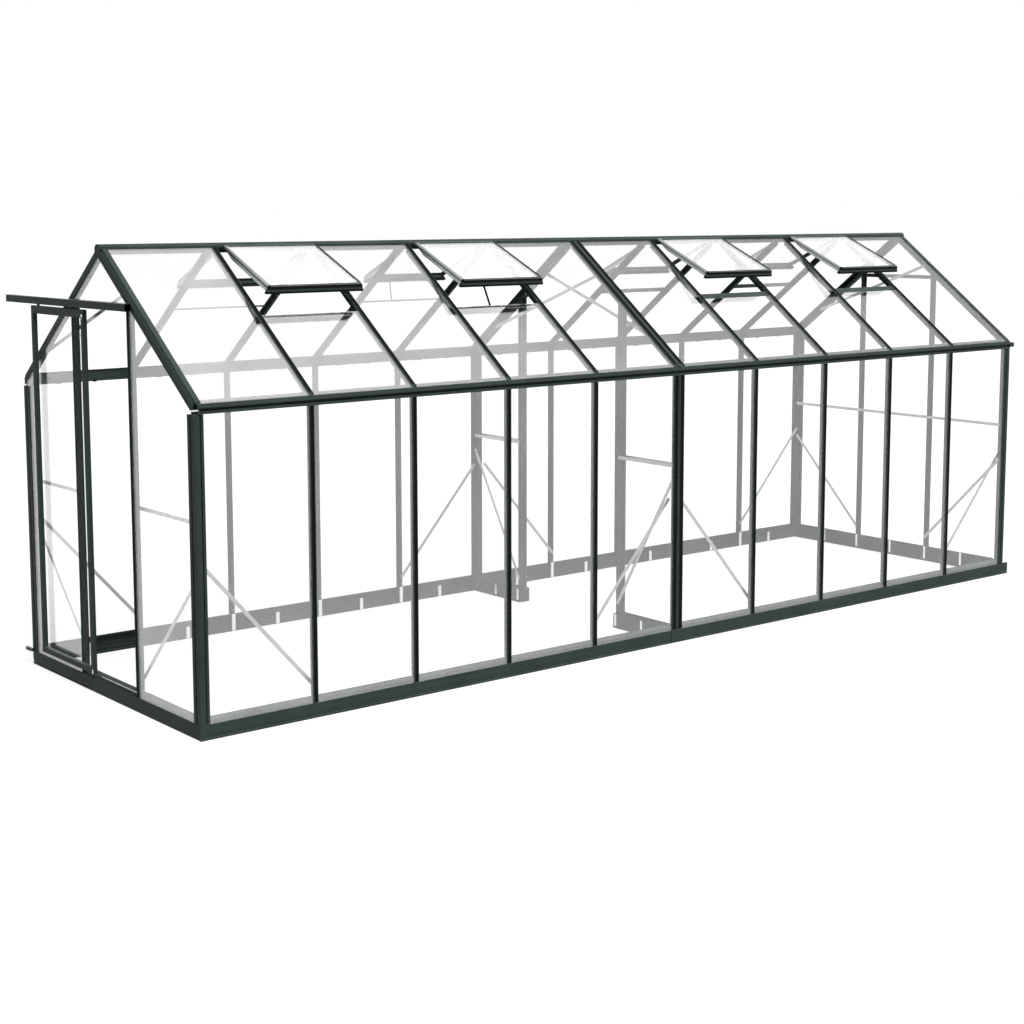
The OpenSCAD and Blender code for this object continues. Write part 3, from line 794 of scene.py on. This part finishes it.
@dataclass
class Studio:
    """A white room with one large soft lamp over the front and a weak one behind."""

    room: str = "#ffffff"
    room_level: float = 0.06
    key_level: float = 1.0
    fill_level: float = 0.1
    floor_colour: str = "#9a9a9a"
    floor_size: float = 90.0
    floor_lift: float = 0.84
    sheets_deep: int = 48

    def seen_directly(self, tree: bpy.types.NodeTree) -> bpy.types.NodeSocket:
        """Adds a test that is 1 for what is seen, mirrored or seen through a sheet.

        Args:
            tree: The tree that the test goes into.

        Returns:
            The test's socket.
        """
        path = add(tree, "ShaderNodeLightPath")
        total = path.outputs["Is Camera Ray"]
        for name in ("Is Glossy Ray", "Is Transmission Ray"):
            total = add(
                tree,
                "ShaderNodeMath",
                {"operation": "MAXIMUM"},
                {0: total, 1: path.outputs[name]},
            ).outputs[0]
        return total

    def build_world(self) -> None:
        """Makes a white world that lights things at the room's own level."""
        world = bpy.data.worlds.new("white_room")
        world.use_nodes = True
        tree = world.node_tree
        tree.nodes.clear()
        level = add(
            tree,
            "ShaderNodeMapRange",
            {},
            {"Value": self.seen_directly(tree), "To Min": self.room_level, "To Max": 1.0},
        )
        back = add(
            tree,
            "ShaderNodeBackground",
            {},
            {"Color": linear(self.room), "Strength": level.outputs[0]},
        )
        add(tree, "ShaderNodeOutputWorld", {}, {0: back.outputs[0]})
        bpy.context.scene.world = world

    def build_floor(self) -> bpy.types.Object:
        """Makes the pale floor, which keeps a soft shadow.

        Returns:
            The floor object.
        """
        half = self.floor_size / 2
        mesh = bpy.data.meshes.new("floor")
        corners = [(-half, -half, 0), (half, -half, 0), (half, half, 0), (-half, half, 0)]
        mesh.from_pydata(corners, [], [(0, 1, 2, 3)])
        material, tree, out = new_material("pale_floor")
        dull = add(
            tree, "ShaderNodeBsdfDiffuse", {}, {"Color": linear(self.floor_colour)}
        )
        lift = add(
            tree,
            "ShaderNodeMath",
            {"operation": "MULTIPLY"},
            {0: self.seen_directly(tree), 1: self.floor_lift},
        )
        glow = add(tree, "ShaderNodeEmission", {}, {"Strength": lift.outputs[0]})
        both = add(
            tree, "ShaderNodeAddShader", {}, {0: dull.outputs[0], 1: glow.outputs[0]}
        )
        tree.links.new(both.outputs[0], out.inputs[0])
        mesh.materials.append(material)
        floor = bpy.data.objects.new("floor", mesh)
        floor.location.z = -0.002
        bpy.context.scene.collection.objects.link(floor)
        return floor

    def build_lamp(
        self, name: str, towards: tuple[float, float, float], level: float, spread: float
    ) -> bpy.types.Object:
        """Makes one far, soft lamp.

        Args:
            name: The lamp's name.
            towards: The way that its light goes.
            level: The light that it adds to a white face turned to it, from 0 to 1.
            spread: Its width in degrees.

        Returns:
            The lamp object.
        """
        data = bpy.data.lights.new(name, "SUN")
        data.energy = level * math.pi
        data.angle = math.radians(spread)
        lamp = bpy.data.objects.new(name, data)
        lamp.rotation_euler = Vector(towards).to_track_quat("-Z", "Y").to_euler()
        bpy.context.scene.collection.objects.link(lamp)
        return lamp

    def build(self) -> None:
        """Makes the world, floor and lamps."""
        self.build_world()
        self.build_floor()
        self.build_lamp("key_lamp", (0.03, 0.62, -0.78), self.key_level, 35.0)
        self.build_lamp("fill_lamp", (-0.5, -0.7, -0.4), self.fill_level, 50.0)
        bpy.context.scene.view_settings.view_transform = "Standard"
        bpy.context.scene.cycles.transparent_max_bounces = self.sheets_deep


# ---------------------------------------------------------------- sub-assemblies


@dataclass
class Finishes:
    """The materials, made once and shared by the nodes and the pieces."""

    coat: dict[Run, bpy.types.Material]
    bare: bpy.types.Material
    bright: bpy.types.Material
    black: bpy.types.Material
    rubber: bpy.types.Material
    sheets: dict[ClearSheet, bpy.types.Material]

    @classmethod
    def make(cls) -> Finishes:
        """Makes every material."""
        coat = PowderCoat()
        return cls(
            coat={run: coat.material(run) for run in Run},
            bare=MillAluminium().material(),
            bright=MillAluminium(
                "bright_zinc_plate", colour="#f4f6f5", worn="#dfe3e2", roughness=0.3
            ).material(),
            black=BlackNylon().material(),
            # Near-black: the vents' rubber, and painted shade in the bars' grooves.
            rubber=BlackNylon("black_gasket_and_groove_shade", colour="#0b0c0c", roughness=0.62).material(),
            sheets={sheet: sheet.material() for sheet in (*SHEETS, VENT_SHEET)},
        )


@dataclass
class EaveBeams:
    """The two eave beams in each side: a drip edge, a sheet slot and a short inner lip."""

    layout: Layout
    finishes: Finishes
    drop: float = 75.0
    reach: float = 36.0
    web: float = 16.0
    inner: float = 7.0
    near: float = 10.0
    rafter_in: float = 12.0
    past: float = 69.0

    def roof_line(self, outward: float, below: float) -> float:
        """Returns the height of a plane under the roof sheets at a place outside the wall.

        Args:
            outward: The distance outside the wall line, in millimetres.
            below: The plane's distance under the sheets' middle, in millimetres.
        """
        turn = math.radians(self.layout.pitch)
        return -below / math.cos(turn) - outward * math.tan(turn)

    def build(self) -> None:
        """Makes both sides."""
        drop = self.drop
        lip = [
            (31, 1 - drop),
            (31, 13 - drop),
            (19, 13 - drop),
            (19, 29 - drop),
            (self.reach, 29 - drop),
            (self.reach, 34 - drop),
            (29.5, self.roof_line(29.5, 2.5)),
        ]
        slot = [(23.5, 10 - drop), (28.5, 10 - drop), (28.5, 1 - drop)]
        inside = [
            (self.inner, self.roof_line(self.inner, 2.5)),
            (self.inner, self.roof_line(self.inner, 4.5)),
            (self.web, self.roof_line(self.web, 4.5)),
            (self.web, -drop),
            (23.5, -drop),
        ]
        outer = [(self.web, self.roof_line(self.web, 2.5)), (self.web, 10 - drop)]
        plug = [
            (self.web, 12 - drop),
            (self.reach, 12 - drop),
            (self.reach, 34 - drop),
            (32, 42 - drop),
            (self.web, 42 - drop),
        ]
        layout = self.layout
        start, joint, end = (v / MM for v in (layout.start, layout.joint, layout.end))
        runs = (
            (lip + outer + slot, start - self.near, start + self.rafter_in),
            (lip + inside + slot, start + self.rafter_in, joint - 0.5),
            (lip + inside + slot, joint + 0.5, end - self.rafter_in),
            (lip + outer + slot, end - self.rafter_in, end + 31),
            (plug, end + 31, end + self.past),
        )
        for front in (True, False):
            side = "front" if front else "back"
            former = Former(f"eave_beam_{side}", (self.finishes.coat[Run.ALONG],))
            place = layout.wall(front) @ Matrix.Translation((0, 0, layout.eave))
            for outline, first, last in runs:
                former.prism(place, outline, first, last)
            former.piece(replaces=(f"eave_{side}",))


@dataclass
class RoofVents:
    """The propped roof vents, drawn from the hinge: X across, Y up the slope, Z out.

    The far section's sills are bare strips. Of the near section's only a thin lip
    shows, and an edge of the roof sheet lies above it.
    """

    layout: Layout
    finishes: Finishes
    bays: tuple[int, ...] = (1, 3, 6, 8)
    near: float = 45.0
    width: float = 598.0
    length: float = 497.0
    opened: float = 12.8
    hinge: tuple[float, float] = (1124.4, 15.0)
    depth: float = 43.0
    splay: float = 20.0 / 43.0
    taper: float = 115.0
    sill: float = 566.0
    sill_rise: float = 22.0
    sill_width: float = 44.0
    lip: float = 3.0
    edge: float = 540.0
    sheet_in: float = 27.5
    edge_in: float = 12.5
    sill_in: float = 16.5

    def place(self, front: bool, bay: int) -> Matrix:
        """Returns the place of a vent's frame.

        Args:
            front: Whether it is on the camera's side.
            bay: Its bay, counted from the door gable.
        """
        corner = (
            self.layout.bay_start(bay) + self.near * MM,
            self.hinge[0] * MM,
            self.hinge[1] * MM,
        )
        tilt = Matrix.Rotation(math.radians(-self.opened), 4, "X")
        return self.layout.slope(front) @ Matrix.Translation(corner) @ tilt

    def rail(self, former: Former, place: Matrix) -> None:
        """Adds the low rail with its splayed ends and its two black gaskets.

        Args:
            former: What it is added to.
            place: The vent's place.
        """
        face, deep = -self.length, self.depth
        ends = (self.splay, -self.splay)
        bands = (
            (0.0, 1.5, 0.0, 0.0, 0),
            (1.5, 16.0, 1.5, 1.5, 1),
            (16.0, 29.0, 5.0, -1.0, 0),
            (29.0, deep, 1.0, 1.0, 1),
        )
        for top, foot, inset, low_inset, finish in bands:
            back = face + 20
            outline = [
                (face + inset, -top),
                (back, -top),
                (back, -foot),
                (face + low_inset, -foot),
            ]
            former.prism(place, outline, 20, self.width - 20, finish, ends)

    def stiles(self, former: Former, place: Matrix) -> None:
        """Adds the two side members, deep towards the low rail, and the hinge bar.

        Args:
            former: What they are added to.
            place: The vent's place.
        """
        low = 20 - self.length
        side = [(low, 0), (0, 0), (0, -9), (-self.taper, -32), (low, -32)]
        ledge = [(low, -11), (-24, -11), (-24, -14), (low, -14)]
        former.prism(place, side, 14, 27, 2, (self.splay * 0.6, self.splay * 0.3))
        former.prism(place, ledge, 6, 14, 1)
        low_side = [(low, 0), (0, 0), (0, -9), (-self.taper, -24), (low, -24)]
        former.prism(place, low_side, self.width - 27, self.width - 16, 0)
        former.prism(place, [(-14, 0), (0, 0), (0, -9), (-14, -9)], 14, self.width - 16, 0)
        former.block(place, (self.width - 19, low, 0), (self.width - 17, -4, 1.2), 1)

    def build(self) -> None:
        """Makes the frames, sheets, sills and stays, and the roof sheets' edges on the sills."""
        coat = self.finishes.coat[Run.ALONG]
        for front in (True, False):
            side = "front" if front else "back"
            finishes = (coat, self.finishes.rubber, self.finishes.bare)
            frames = Former(f"vent_leaf_frames_{side}", finishes)
            for bay in self.bays:
                place = self.place(front, bay)
                self.rail(frames, place)
                self.stiles(frames, place)
            frames.piece(replaces=(f"vent_frames_{side}",))
        glass = (self.finishes.sheets[VENT_SHEET], self.finishes.sheets[BACK_SHEET])
        sheets = Former("vent_leaf_sheets", glass)
        edges = Former("roof_sheet_edges", (self.finishes.sheets[ROOF_SHEET], glass[1]))
        sills = Former("vent_sill_strips", (coat,))
        # The stays are black as painted shade: the metal stays lie in shadow.
        stays = Former("vent_stay_bars", (self.finishes.black,))
        for front in (True, False):
            for bay in self.bays:
                clear = 0 if front else 1
                self.sheet(sheets, self.place(front, bay), clear)
                slope = self.layout.slope(front)
                start = self.layout.bay_start(bay) / MM
                end = start + self.layout.bay / MM
                far = bay >= self.layout.section_bays
                if not far:
                    edge = [(self.edge, -2), (self.sill, -2), (self.sill, 2), (self.edge, 2)]
                    edges.prism(slope, edge, start + self.edge_in, end - self.edge_in, clear)
                seat = self.seat(far)
                sills.prism(slope, seat, start + self.sill_in, end - self.sill_in)
            self.stay(stays, front, self.bays[1])
        sheets.piece(replaces=("vent_glazing",))
        edges.piece()
        sills.piece(replaces=("vent_sills",))
        stays.piece(replaces=("vent_stays",))

    def sheet(self, former: Former, place: Matrix, clear: int) -> None:
        """Adds a vent's sheet.

        Args:
            former: What it is added to.
            place: The vent's place.
            clear: The number of its material.
        """
        low, high = 20 - self.length, -12
        outline = [(low, -3), (high, -3), (high, -7), (low, -7)]
        former.prism(place, outline, self.sheet_in, self.width - self.sheet_in, clear)

    def seat(self, far: bool) -> Outline:
        """Returns the outline of a sill, in the slope's Y and Z.

        Args:
            far: Whether its vent is in the far section.
        """
        top = self.sill + self.sill_rise if far else self.sill
        low = top - self.sill_width if far else self.sill
        under = self.sill - self.lip
        return [(low, -2.6), (top, -2.6), (top, -12), (under, -12), (under, -4.6), (low, -4.6)]

    def stay(self, former: Former, front: bool, bay: int) -> None:
        """Adds the stay that props a vent on its sill; its black nylon is painted shade on a shaded
        metal stay.

        Args:
            former: What it is added to.
            front: Whether it is on the camera's side.
            bay: The vent's bay.
        """
        slope = self.layout.slope(front)
        start = self.layout.bay_start(bay)
        foot = Vector((start + 0.25, (self.sill - 4) * MM, 0.003))
        leaf = Vector((0.175, (26 - self.length) * MM, -0.034))
        head = slope.inverted() @ self.place(front, bay) @ leaf
        run = head - foot
        turn = run.to_track_quat("X", "Y").to_matrix().to_4x4()
        former.block(
            slope @ Matrix.Translation(foot) @ turn, (0, -6, -1.5), (run.length / MM, 6, 1.5)
        )


@dataclass
class GrooveShadeStrips:
    """Black strips in the grooves of the bars, posts and rafters: painted shade for the deep shadow
    in the grooves.
    """

    layout: Layout
    finishes: Finishes
    floor: float = -7.5
    top: float = 1.0
    slope_start: float = -12.0
    slope_end: float = 1118.0
    wall_foot: float = 78.0

    def build(self) -> None:
        """Makes the gaskets of the walls and of the roof."""
        layout = self.layout
        # These black strips are painted shade, darkening the grooves where shadow falls.
        former = Former("groove_gaskets", (self.finishes.rubber,))
        strips = [(bar / MM, -9.9, 9.9) for bar in layout.bar_lines()]
        joint = layout.joint / MM
        strips += [(joint, -35.9, -10.1), (joint, 10.1, 35.9)]
        for front in (True, False):
            upright = layout.wall(front) @ Matrix.Translation((0, 0.026, 0))
            slope = layout.slope(front)
            for line, left, right in strips:
                foot, head = self.wall_foot, layout.eave / MM - 76
                former.block(
                    upright,
                    (line + left, self.floor, foot),
                    (line + right, self.top, head),
                )
                former.block(
                    slope,
                    (line + left, self.slope_start, self.floor),
                    (line + right, self.slope_end, self.top),
                )
        former.piece()


@dataclass
class SmallFixings:
    """Nuts, clips, plates, cleats and end blocks; some of their places are guessed."""

    layout: Layout
    finishes: Finishes
    repeater: Repeater = field(default_factory=Repeater)
    wall_nuts: tuple[float, float] = (0.13, 0.165)
    below_eave: float = 0.1
    slope_nuts: tuple[float, float] = (0.7, 1.06)
    cleat: float = 2.5
    cleat_half: float = 8.0
    cleat_foot: float = 15.0
    clip_shares: tuple[float, float] = (0.27, 0.62)

    def nut(self) -> bpy.types.Object:
        """Makes a hexagon nut with the end of its bolt, with its axis along Z."""
        former = Former("nut_shape", ())
        form = former.form
        for sides, radius, high in ((6, 5.8, 5.0), (10, 3.0, 9.0)):
            angles = [2 * math.pi * i / sides for i in range(sides)]
            outline = [(radius * math.cos(angle), radius * math.sin(angle)) for angle in angles]
            low = [form.verts.new((a * MM, b * MM, 0)) for a, b in outline]
            top = [form.verts.new((a * MM * 0.94, b * MM * 0.94, high * MM)) for a, b in outline]
            form.faces.new(low)
            form.faces.new(top)
            for i in range(sides):
                j = (i + 1) % sides
                form.faces.new((low[i], low[j], top[j], top[i]))
        bmesh.ops.recalc_face_normals(form, faces=form.faces)
        mesh = bpy.data.meshes.new("nut_shape")
        form.to_mesh(mesh)
        form.free()
        shape = bpy.data.objects.new("nut_shape", mesh)
        bpy.context.scene.collection.objects.link(shape)
        return shape

    def nut_spots(self) -> list[Matrix]:
        """Returns the spots of the nuts on the inner faces of the bars."""
        layout = self.layout
        spots = []
        inward = Matrix.Rotation(math.radians(90), 4, "X")
        below = Matrix.Rotation(math.radians(180), 4, "X")
        for front in (True, False):
            for bar in layout.bar_lines():
                for height in (*self.wall_nuts, layout.eave - self.below_eave):
                    spots.append(
                        layout.wall(front) @ Matrix.Translation((bar, -0.005, height)) @ inward
                    )
                for up in self.slope_nuts:
                    spots.append(
                        layout.slope(front) @ Matrix.Translation((bar, up, -0.031)) @ below
                    )
        return spots

    def plates(self) -> None:
        """Makes the plates over the base joints and the end blocks of the track."""
        layout = self.layout
        former = Former("base_cover_plates", (self.finishes.coat[Run.ALONG],))
        for front in (True, False):
            place = layout.wall(front)
            line = layout.joint / MM
            former.block(place, (line - 40, 30, 9), (line + 108, 31.6, 75))
        former.piece()
        low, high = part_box("door_track")
        caps = Former("track_end_blocks", (self.finishes.black,))
        ground = Matrix.Identity(4)
        x_low, x_high = low[0] / MM, high[0] / MM
        z_low, z_high = low[2] / MM, high[2] / MM
        for y_low, y_high in ((low[1] / MM, low[1] / MM + 62), (high[1] / MM - 5, high[1] / MM)):
            caps.block(
                ground,
                (x_low + 0.1, y_low, z_low),
                (x_high - 2, y_high, z_high - 0.1),
            )
        caps.piece()

    def gable_cleats_and_slot_light(self) -> None:
        """Makes the bright cleats inside the gable rails and on the partition's stubs; the stubs'
        near-white strips are painted light where light shows through slots.
        """
        middle = self.layout.middle / MM
        rail_top, stub_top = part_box("base_cleats")[1][2] / MM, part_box("base_partition")[1][2] / MM
        former = Former("gable_base_cleats", (self.finishes.bright,))
        faces = (
            (
                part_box("base_gable_far")[0][0] / MM - self.cleat,
                rail_top,
                (-620, -310, 0, 310, 620),
            ),
            (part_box("base_gable_near")[1][0] / MM, rail_top, (-620, -310, 310, 620)),
            # The partition's strips are painted light: near-white where light shows through slots in
            # the stubs.
            (
                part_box("base_partition")[0][0] / MM - self.cleat,
                stub_top - 2,
                (-895, -690, -465, 465, 690, 895),
            ),
        )
        for x, top, places in faces:
            for across in places:
                y = middle + across
                low = (x, y - self.cleat_half, self.cleat_foot)
                high = (x + self.cleat, y + self.cleat_half, top)
                former.block(Matrix.Identity(4), low, high)
        former.piece()

    def small_parts(self) -> None:
        """Makes the small parts by the door, at the near corner and under the back eave."""
        ground = Matrix.Identity(4)
        layout = self.layout
        start, middle = layout.start / MM, layout.middle / MM
        leaf_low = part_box("door_frame")[0] / MM
        leaf = Former("door_leaf_bolts", (self.finishes.bright, self.finishes.black))
        x = leaf_low[0] - 1.5
        y = leaf_low[1]
        leaf.block(ground, (x, y + 6, 1974), (x + 3, y + 18, 1987), 0)
        leaf.block(ground, (x, y + 9, 1963), (x + 3, y + 16, 1970), 1)
        leaf.block(ground, (x, y + 2, 112), (x + 3, y + 10, 136), 0)
        leaf.piece(body=DOOR_BODY, bevel=0.6)
        fixed = Former(
            "corner_brackets", (self.finishes.bright, self.finishes.black, self.finishes.bare)
        )
        fixed.block(ground, (start - 33, middle - 302, 100), (start - 31, middle + 80, 104), 2)
        fixed.block(ground, (start - 44, middle + 945, 70), (start - 32, middle + 1015, 88), 1)
        fixed.block(ground, (start - 46, middle - 951, 1580), (start - 4, middle - 947, 1587), 0)
        knob_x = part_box("door_posts")[0][0] / MM
        fixed.block(ground, (knob_x - 5, middle + 219, 1868), (knob_x, middle + 233, 1882), 1)
        fixed.piece(bevel=0.6)
        clips = Former("eave_clips", (self.finishes.black,))
        place = layout.wall(False) @ Matrix.Translation((0, 0, layout.eave))
        for bay in range(2 * layout.section_bays):
            for share in self.clip_shares:
                line = (layout.bay_start(bay) + layout.bay * share) / MM
                clips.block(place, (line - 10, 6, -78), (line + 10, 17, -64))
        clips.piece()

    def build(self) -> None:
        """Makes them all."""
        shape = self.nut()
        self.repeater.repeat("bar_nuts", shape, self.nut_spots(), self.finishes.bare)
        bpy.data.objects.remove(shape)
        self.plates()
        self.gable_cleats_and_slot_light()
        self.small_parts()


# ---------------------------------------------------------------- dressing the frame

COATED: dict[Run, tuple[str, ...]] = {
    Run.ALONG: (
        "base_front_near",
        "base_front_far",
        "base_back_near",
        "base_back_far",
        "base_joint_plates",
        "eave_front",
        "eave_back",
        "ridge_beam",
        "vent_sills",
        "vent_frames_front",
        "vent_frames_back",
    ),
    Run.ACROSS: (
        "base_gable_near",
        "base_gable_far",
        "base_partition",
        "gable_headers",
        "door_track",
    ),
    Run.UPRIGHT: (
        "corner_posts",
        "wall_bars_front",
        "wall_bars_back",
        "joint_posts",
        "door_posts",
        "far_gable_posts",
        "partition_posts",
        "door_frame",
    ),
    Run.UP_FRONT_SLOPE: ("roof_bars_front", "gable_rafters", "joint_rafters"),
    Run.UP_BACK_SLOPE: ("roof_bars_back",),
}
BARE_METAL = (
    "gable_rails",
    "partition_rails",
    "wall_braces",
    "gable_braces",
    "partition_braces",
    "truss_braces",
)
# Each sheet's first two numbers are its painted glare at the door gable and at the far end; the back
# and door sheets get none.
ROOF_SHEET = ClearSheet("clear_roof_sheet", 0.38, 0.14, grazing=0.4)
VENT_SHEET = ClearSheet("clear_vent_sheet", 0.45, 0.3, grazing=0.3)
BACK_SHEET = ClearSheet("clear_back_sheet", 0.0, 0.0, straight_on=0.0, grazing=0.12)
SHEETS: dict[ClearSheet, tuple[str, ...]] = {
    ClearSheet("clear_front_wall_sheet", 0.115, 0.08): ("wall_glazing_front",),
    BACK_SHEET: (
        "wall_glazing_back",
        "roof_glazing_back",
        "gable_glazing_far",
    ),
    ClearSheet("clear_gable_sheet", 0.12, 0.12): ("gable_glazing_near",),
    ClearSheet("clear_door_sheet", 0.0, 0.0, straight_on=0.0, grazing=0.1): ("door_glazing",),
    ROOF_SHEET: ("roof_glazing_front",),
}


@dataclass
class Dresser:
    """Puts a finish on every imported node."""

    nodes: dict[str, bpy.types.Object]
    finishes: Finishes

    def finish(self, names: tuple[str, ...], material: bpy.types.Material) -> None:
        """Puts one material on some nodes.

        Args:
            names: The nodes' names.
            material: What they are finished with.
        """
        for name in names:
            for slot in self.nodes[name].material_slots:
                slot.material = material
            LOG.info("finished %s with %s", name, material.name)

    def dress(self) -> None:
        """Finishes all the nodes."""
        for run, names in COATED.items():
            self.finish(names, self.finishes.coat[run])
        self.finish(BARE_METAL, self.finishes.bare)
        self.finish(("base_cleats",), self.finishes.bright)
        self.finish(("door_rollers",), self.finishes.black)
        for sheet, names in SHEETS.items():
            self.finish(names, self.finishes.sheets[sheet])


def main() -> None:
    """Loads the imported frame, dresses it and sets up the studio."""
    logging.basicConfig(level=logging.INFO, format="%(name)s: %(message)s")
    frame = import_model()
    Viewpoint().camera()
    finishes = Finishes.make()
    Dresser(frame["nodes"], finishes).dress()
    layout = Layout.measure()
    EaveBeams(layout, finishes).build()
    RoofVents(layout, finishes).build()
    GrooveShadeStrips(layout, finishes).build()
    SmallFixings(layout, finishes).build()
    Studio().build()
    LOG.info("the greenhouse is dressed")


if __name__ == "__main__":
    main()
